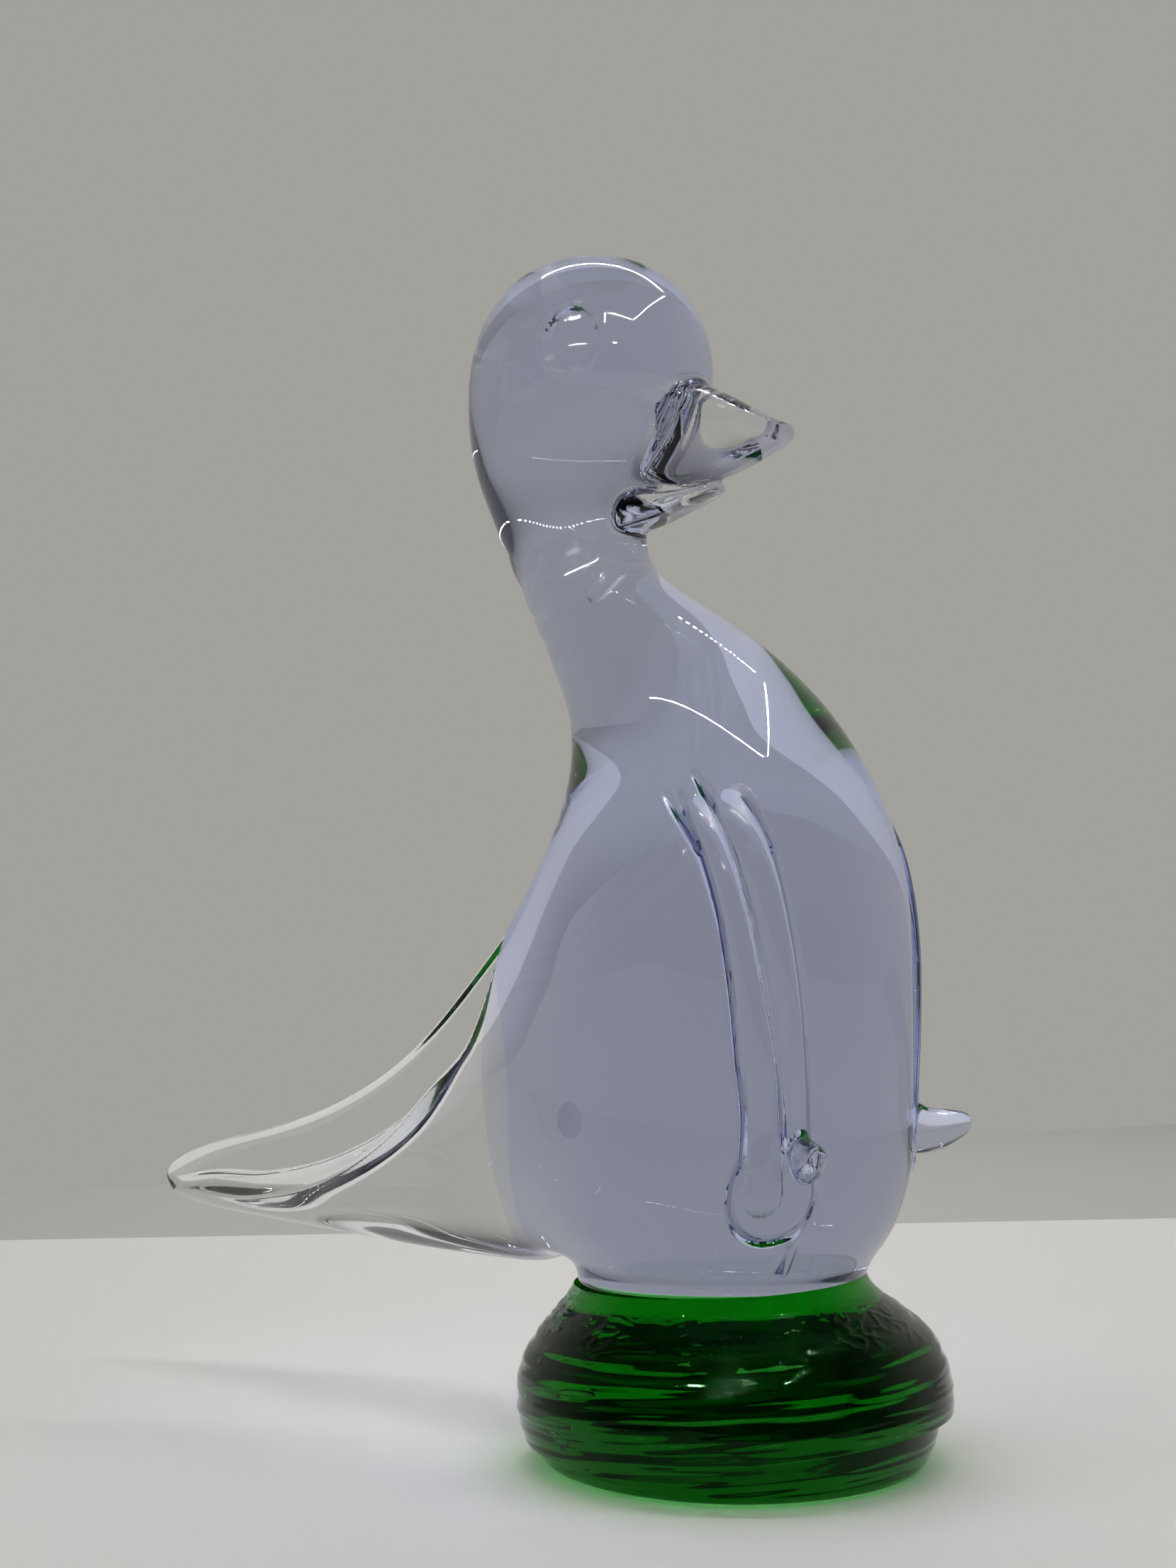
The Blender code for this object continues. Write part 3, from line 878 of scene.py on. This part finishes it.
def headForm(duck, billHalves):
    form = helperOf(duck, "headForm")
    partAt(form, (0, 0, head["from"]), (0, 0, -1))
    for half in billHalves:
        cut(form, half, "UNION")
    remesh = form.modifiers.new("remesh", "REMESH")
    remesh.mode = "VOXEL"
    remesh.voxel_size = head["voxel"] * mm
    calm = form.modifiers.new("calm", "SMOOTH")
    calm.factor = halfway
    calm.iterations = head["calm"]
    applyModifiers(form)
    # only the creases between bill and face are filled, so the bill keeps its size
    melted = helperOf(form, "melted")
    melt = melted.modifiers.new("melt", "SMOOTH")
    melt.factor = halfway
    melt.iterations = head["melt"]
    applyModifiers(melted)
    back, full, fading, front = head["meltRoot"]
    bm = openMesh(form)
    bm.normal_update()
    for vert, soft in zip(bm.verts, melted.data.vertices):
        forward = vert.co.x / mm
        share = fade(back, full, forward) * (1 - fade(fading, front, forward))
        share *= fade(*head["meltHeights"], vert.co.z / mm)
        push = (soft.co - vert.co).dot(vert.normal) / mm
        vert.co = vert.co.lerp(soft.co, share * fade(*head["meltPush"], push))
    for side in (-1, 1):
        pressEye(bm, side)
        corners = [Vector(corner) * Vector((1, -side, 1)) for corner in head["pinch"]]
        pinch(bm, corners, head["pinchDepth"])
    closeMesh(bm, form)
    return form


# Base
base = {
    "sides": 24,
    "smoothing": 4,
    "flow": (0.2, 20.0, 2.0),  # bands drawn out around the glass: height, length and breadth
    "flowSink": 0.25,  # share of their height that they are let in
    "fine": (0.35, 2, 2.7),  # finer bands: height as a share, and how much shorter and narrower they are
    "flowLean": 4.0,
    "flowEnds": (2.5, 0.5),  # how far from a layer's ends it fades, and how far under its top it is gone
    "coil": [  # height, depth, half width, turn, rise
        (9.5, 0.22, 1.3, 150.0, 7.0),
        (17.6, 0.2, 0.9, -60.0, 4.5),
    ],
    "wrinkle": (0.13, 2.6, 18.5, 26.5),  # height, size, and the heights between which they lie
    "wrinkleFade": (2.5, 1.5),  # how gently they end below and above
    "wrinkleShape": (1.6, 3),  # how much they are drawn out sideways, and how sharp they are
    "wrinklePatch": (9.0, 0.3, 3.0),  # size and softness of the patches they lie in, and which these are
    "wrap": [  # height, forward, radius
        (31.1, -2.3, 21.4),
        (27.1, -2.3, 21.4),
        (24.7, -1.5, 23.1),
        (22.7, -0.7, 25.5),
        (20.7, 0.0, 27.9),
        (18.4, 0.0, 30.1),
        (15.8, 0.0, 31.5),
        (12.6, 0.0, 32.3),
        (9.6, 0.0, 32.6),
        (6.8, 0.0, 32.2),
        (4.2, 0.0, 31.4),
        (1.6, 0.0, 30.2),
    ],
    "foot": [
        (12.0, 0.0, 30.0),
        (7.0, 0.0, 30.3),
        (4.6, 0.0, 30.1),
        (2.4, 0.0, 29.4),
        (0.8, 0.0, 28.5),
        (0.0, 0.0, 27.2),
    ],
}


def flowOf(spot):
    # unevenness of the green glass, in millimetres, at a place in millimetres
    height, length, breadth = base["flow"]
    share, shorter, narrower = base["fine"]
    lean = math.radians(base["flowLean"])
    level = spot.z - spot.x * math.sin(lean)
    place = Vector((spot.x / length, spot.y / length, level / breadth))
    bands = height * (noise.noise(place) - base["flowSink"])
    fine = height * share * noise.noise(place * Vector((shorter, shorter, narrower)))
    for middle, depth, width, turn, rise in base["coil"]:
        around = math.atan2(spot.y, spot.x) - math.radians(turn)
        line = middle + rise * math.sin(around / 2) ** 2
        bands -= depth * math.exp(-(((level - line) / width) ** 2))
    tall, size, low, high = base["wrinkle"]
    fadeLow, fadeHigh = base["wrinkleFade"]
    shown = fade(low, low + fadeLow, spot.z) * (1 - fade(high - fadeHigh, high, spot.z))
    if shown > 0:
        drawn, sharp = base["wrinkleShape"]
        patch, soft, which = base["wrinklePatch"]
        crease = 1 - 2 * abs(noise.noise(Vector((spot.x / size, spot.y / size, spot.z / size * drawn))))
        shown *= fade(-soft, soft, noise.noise(spot / patch + Vector((which, 0, 0))))
        fine += tall * shown * max(crease, 0) ** sharp
    return bands + fine


def baseForm(name, rows):
    bm = bmesh.new()
    loops = []
    for height, forward, radius in rows:
        middle = Vector((forward, 0, height)) * mm
        radius *= mm / settled(base["sides"])
        loops.append(ring(bm, base["sides"], middle, Vector((radius, 0, 0)), Vector((0, radius, 0))))
    loft(bm, loops)
    obj = newObject(name, bm, glasses["green"])
    soften(obj, base["smoothing"])
    applyModifiers(obj)
    bm = openMesh(obj)
    bm.normal_update()
    top, bottom = rows[1][0], rows[-1][0]
    fadeOver, gone = base["flowEnds"]
    for vert in bm.verts:
        spot = vert.co / mm
        share = fade(bottom, bottom + fadeOver, spot.z) * (1 - fade(top - fadeOver, top - gone, spot.z))
        vert.co += vert.normal * flowOf(spot) * share * mm
    closeMesh(bm, obj)
    return obj


def dressed(obj, node):
    # last touches on a piece: smooth shading, its place in the frame and what it stands for
    bm = openMesh(obj)
    bmesh.ops.recalc_face_normals(bm, faces=bm.faces)
    closeMesh(bm, obj)
    mesh = obj.data
    mesh.shade_smooth()
    mesh.set_sharp_from_angle(angle=math.radians(sharpAngle))
    # the joint's faces were told apart by their material, which becomes an attribute of the glass
    joint = [face.material_index for face in mesh.polygons]
    fused = mesh.attributes.new("fused", "FLOAT", "FACE")
    fused.data.foreach_set("value", [float(index) for index in joint])
    mesh.polygons.foreach_set("material_index", [0] * len(joint))
    mesh.materials.pop(index=1)
    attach(obj, "root")
    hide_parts(node)
    print(obj.name, len(mesh.polygons), "faces,", mesh.materials[0].name)


markNeck(plainDuck)
tabBed = helperOf(plainDuck, "tabBed", lilacJoint)
swell(tabBed, -wings["tabBed"])
surface = BVHTree.FromObject(plainDuck, bpy.context.evaluated_depsgraph_get())
rightWing, rightRoom = wingForm("rightWing", surface, -1, tabBed)
leftWing, leftRoom = wingForm("leftWing", surface, 1, tabBed)
print("wings shaped")

baseUp, neckUp, lipUp = (upNormal(joints[name]) for name in ("base", "neck", "lip"))
tailFront = turned(joints["tail"]["lean"], "Y") @ Vector((1, 0, 0))
body = copyOf(plainDuck, "bodyGlass", *glasses["lilac"])
partAt(body, shifted(joints["neck"], neckUp, -seam), neckUp)
partAt(body, shifted(joints["base"], baseUp, seam), -baseUp)
partAt(body, shifted(joints["tail"], tailFront, seam), -tailFront, below=joints["tail"]["top"])
for wingRoom in (rightRoom, leftRoom):
    cut(body, wingRoom)
applyModifiers(body)

tail = copyOf(plainDuck, "tailGlass", *glasses["clear"])
partAt(tail, (0, 0, joints["tail"]["top"]), (0, 0, 1))
partAt(tail, shifted(joints["tail"], tailFront, -seam), tailFront)
print("body and tail shaped")

upperForm = billForm("upperForm", bill["upper"])
lowerForm = billForm("lowerForm", bill["lower"])
skin = headForm(plainDuck, [upperForm, lowerForm])
billBed = helperOf(plainDuck, "billBed", clearJoint)
swell(billBed, -bill["bed"])
billReach = billForm("billReach", bill["upper"], grow=bill["reach"])
cut(billReach, billForm("lowerReach", bill["lower"], grow=bill["reach"]), "UNION")
applyModifiers(billReach)
paint(billReach, clearJoint)
# the bill is cut out of the skin whole, and then parted at the mouth
upperBill = copyOf(skin, "upperBill", *glasses["clear"])
cut(upperBill, billReach, "INTERSECT")
cut(upperBill, billBed)
applyModifiers(upperBill)
lowerBill = copyOf(upperBill, "lowerBill")
cut(upperBill, aboveMouth(), "INTERSECT")
applyModifiers(upperBill)
keepLargest(upperBill)
upperRoom = helperOf(upperBill, "upperRoom", clearJoint)
swell(upperRoom, bill["apart"])
cut(lowerBill, upperRoom)
applyModifiers(lowerBill)
keepLargest(lowerBill)
# the head has a room for the bill, which goes past the bill's skin so that no sliver is left over it
headGlass = copyOf(skin, "headGlass", *glasses["lilac"])
partAt(headGlass, shifted(joints["neck"], neckUp, seam), -neckUp)
pastSkin, pastRoot = bill["room"]
billRoom = helperOf(skin, "billRoom", lilacJoint)
swell(billRoom, pastSkin)
cut(billRoom, billReach, "INTERSECT")
cut(billRoom, billBed)
applyModifiers(billRoom)
swell(billRoom, pastRoot)
paint(billRoom, lilacJoint)
cut(headGlass, billRoom)
applyModifiers(headGlass)
keepLargest(headGlass)
print("head and bill shaped")

wrap = baseForm("baseWrap", base["wrap"])
partAt(wrap, shifted(joints["base"], baseUp, -seam), baseUp)
partAt(wrap, shifted(joints["lip"], lipUp, seam), -lipUp)
foot = baseForm("baseFoot", base["foot"])
partAt(foot, shifted(joints["lip"], lipUp, -seam), lipUp)
print("base shaped")

for piece, node, slotName in (
    (body, "body", "lilac_glass"),
    (headGlass, "head", "lilac_glass"),
    (tail, "tail", "clear_glass"),
    (rightWing, "right_wing", "lilac_glass"),
    (leftWing, "left_wing", "lilac_glass"),
    (upperBill, "upper_bill", "clear_glass"),
    (lowerBill, "lower_bill", "clear_glass"),
    (wrap, "base_wrap", "green_glass"),
    (foot, "base_foot", "green_glass"),
):
    dressed(piece, node)
for helper in helpers:
    bpy.data.objects.remove(helper)

# Camera
photoCamera = {
    "azimuth": 31.0,  # degrees
    "distance": 420.7,
    "sideways": -4.0,
    "height": 105.8,
    "yaw": 2.416,
    "pitch": 0.763,
    "lens": 65.17,
    "sensor": 36.0,
    "nearest": 10.0,
}


def inRoom(right, away, height=0.0):
    # a place given as the camera sees it: right and away from it, from the duck's middle
    azimuth = math.radians(photoCamera["azimuth"])
    rightward = Vector((math.cos(azimuth), math.sin(azimuth), 0))
    awayward = Vector((-math.sin(azimuth), math.cos(azimuth), 0))
    return (rightward * right + awayward * away + Vector((0, 0, height))) * mm


def addCamera():
    data = bpy.data.cameras.new("camera")
    camera = linked("camera", data)
    camera.location = inRoom(photoCamera["sideways"], -photoCamera["distance"], photoCamera["height"])
    turn = math.radians(photoCamera["azimuth"]) + math.radians(photoCamera["yaw"])
    camera.rotation_euler = (math.radians(90 - photoCamera["pitch"]), 0, turn)
    data.sensor_width = photoCamera["sensor"]
    data.lens = photoCamera["lens"]
    data.clip_start = photoCamera["nearest"] * mm
    bpy.context.scene.camera = camera


addCamera()

# Floor, room and lamps
room = {
    "wall": (0.362, 0.352, 0.326),
    "wallLine": ((-171.0, 241.0), (124.0, 378.0)),  # two places on it, right and away
    "dark": (0.045, 0.045, 0.044),
    "darkFrom": (-0.45, 0.45),  # cosines to the way the camera looks between which the room brightens
    "ceilingFrom": (0.85, 0.35),  # rises of a ray between which the dark ceiling passes into the wall
    # the ledge at the wall: its grey, darker than the floor, is painted shade for the ledge's shadow
    "shadedLedge": (0.37, 0.365, 0.35),
    "ledgeLine": ((-155.0, 180.0), (99.0, 219.0)),
    "floor": (0.56, 0.548, 0.524),
    "roughness": 0.6,
    "gleam": 0.2,
    "reach": 1500.0,  # the floor goes this far each way
    "wallReach": (-375.0, 1500.0),  # and the ledge at the wall, painted darker as shade, from here to there
    "skyLight": 0.72,
    "ledHeight": 420.0,
    "ledSize": 3.2,
    "ledPitch": 6.4,
    "ledLight": 900.0,
    "ledRows": [
        ((-150.0, 165.0), (170.0, 165.0)),
        ((190.0, 140.0), (190.0, -160.0)),
        ((-230.0, -180.0), (170.0, -180.0)),
        ((-300.0, -620.0), (260.0, -620.0)),
    ],
    "stripWidth": 12.0,
    "strips": [  # right, away, height, length, watts
        (0.0, -20.0, 420.0, 340.0, 0.45),
        (0.0, 330.0, 260.0, 340.0, 0.35),
    ],
}


def lineAt(line, right):
    # how far away a line on the floor is at a place to the right
    (right0, away0), (right1, away1) = line
    return away0 + (away1 - away0) * (right - right0) / (right1 - right0)


def plainMaterial(name, colour):
    material = bpy.data.materials.new(name)
    material.use_nodes = True
    shader = material.node_tree.nodes["Principled BSDF"]
    shader.inputs["Base Color"].default_value = (*colour, 1)
    shader.inputs["Roughness"].default_value = room["roughness"]
    shader.inputs["Specular IOR Level"].default_value = room["gleam"]
    return material


def addFloor():
    reach = room["reach"]
    corners = [(side, lineAt(room["ledgeLine"], side)) for side in (-reach, reach)]
    far = [(side, lineAt(room["wallLine"], side)) for side in room["wallReach"]]
    near = [(reach, -reach), (-reach, -reach)]
    # the ledge is a flat sheet on the floor, painted darker grey as shade
    for name, places in (("floor", corners + near), ("shadedLedge", corners + far[::-1])):
        bm = bmesh.new()
        bm.faces.new([bm.verts.new(inRoom(*place)) for place in places])
        bmesh.ops.recalc_face_normals(bm, faces=bm.faces)
        newObject(name, bm, [plainMaterial(name, room[name])])


def mathOf(tree, operation, first, second):
    # the second is a number or another node's output
    node = tree.nodes.new("ShaderNodeMath")
    node.operation = operation
    tree.links.new(first, node.inputs[0])
    if isinstance(second, bpy.types.NodeSocket):
        tree.links.new(second, node.inputs[1])
    else:
        node.inputs[1].default_value = second
    return node.outputs["Value"]


def setWorld():
    world = bpy.data.worlds.new("room")
    bpy.context.scene.world = world
    world.use_nodes = True
    tree = world.node_tree
    light = tree.nodes["Background"]
    light.inputs["Color"].default_value = (*white, 1)
    light.inputs["Strength"].default_value = room["skyLight"]
    path = tree.nodes.new("ShaderNodeLightPath")
    place = tree.nodes.new("ShaderNodeTexCoord")
    # seen in the glass, the room gets dark behind the camera and overhead
    facing = tree.nodes.new("ShaderNodeVectorMath")
    facing.operation = "DOT_PRODUCT"
    facing.inputs[1].default_value = inRoom(0, 1).normalized()
    tree.links.new(place.outputs["Generated"], facing.inputs[0])
    parts = tree.nodes.new("ShaderNodeSeparateXYZ")
    tree.links.new(place.outputs["Generated"], parts.inputs["Vector"])
    ahead = mapRange(tree, facing.outputs["Value"], room["darkFrom"], kind="SMOOTHSTEP")
    under = mapRange(tree, parts.outputs["Z"], room["ceilingFrom"], kind="SMOOTHSTEP")
    bright = mathOf(tree, "MULTIPLY", ahead, under)
    bright = mathOf(tree, "MAXIMUM", bright, path.outputs["Is Camera Ray"])
    seen = tree.nodes.new("ShaderNodeBackground")
    tree.links.new(mixColours(tree, bright, room["dark"], room["wall"]), seen.inputs["Color"])
    # what a matt surface scatters is lit by the plain sky instead
    direct = mathOf(tree, "LESS_THAN", path.outputs["Diffuse Depth"], 0.5)
    mix = tree.nodes.new("ShaderNodeMixShader")
    tree.links.new(direct, mix.inputs["Fac"])
    tree.links.new(light.outputs["Background"], mix.inputs[1])
    tree.links.new(seen.outputs["Background"], mix.inputs[2])
    tree.links.new(mix.outputs["Shader"], tree.nodes["World Output"].inputs["Surface"])


def addLeds():
    # rows of small lamps above the duck, seen only as glints in the glass
    bm = bmesh.new()
    for start, end in room["ledRows"]:
        first, last = inRoom(*start, room["ledHeight"]), inRoom(*end, room["ledHeight"])
        count = round((last - first).length / (room["ledPitch"] * mm))
        for i in range(count + 1):
            place = Matrix.Translation(first.lerp(last, i / count))
            bmesh.ops.create_icosphere(bm, subdivisions=1, radius=room["ledSize"] * mm / 2, matrix=place)
    material = bpy.data.materials.new("led")
    material.use_nodes = True
    tree = material.node_tree
    glow = tree.nodes.new("ShaderNodeEmission")
    glow.inputs["Strength"].default_value = room["ledLight"]
    tree.links.new(glow.outputs["Emission"], tree.nodes["Material Output"].inputs["Surface"])
    tree.nodes.remove(tree.nodes["Principled BSDF"])
    leds = newObject("leds", bm, [material])
    leds.visible_camera = False
    leds.visible_diffuse = False
    leds.visible_shadow = False


def addStrips():
    for right, away, height, length, watts in room["strips"]:
        data = bpy.data.lights.new("strip", "AREA")
        data.shape = "RECTANGLE"
        data.size = length * mm
        data.size_y = room["stripWidth"] * mm
        data.energy = watts
        lamp = linked("strip", data)
        lamp.location = inRoom(right, away, height)
        aim = Matrix.Rotation(-math.atan2(away, height), 3, "X")
        lamp.rotation_euler = (turned(photoCamera["azimuth"], "Z") @ aim).to_euler()
        for kind in ("camera", "glossy", "transmission"):
            setattr(lamp, "visible_" + kind, False)


addFloor()
setWorld()
addLeds()
addStrips()
scene = bpy.context.scene
scene.view_settings.view_transform = "Standard"
scene.cycles.max_bounces = 24
scene.cycles.transmission_bounces = 24
scene.cycles.glossy_bounces = 8
scene.cycles.diffuse_bounces = 3
scene.cycles.transparent_max_bounces = 32
scene.cycles.sample_clamp_indirect = 30  # the lamps' glints stay bright
print("studio set")
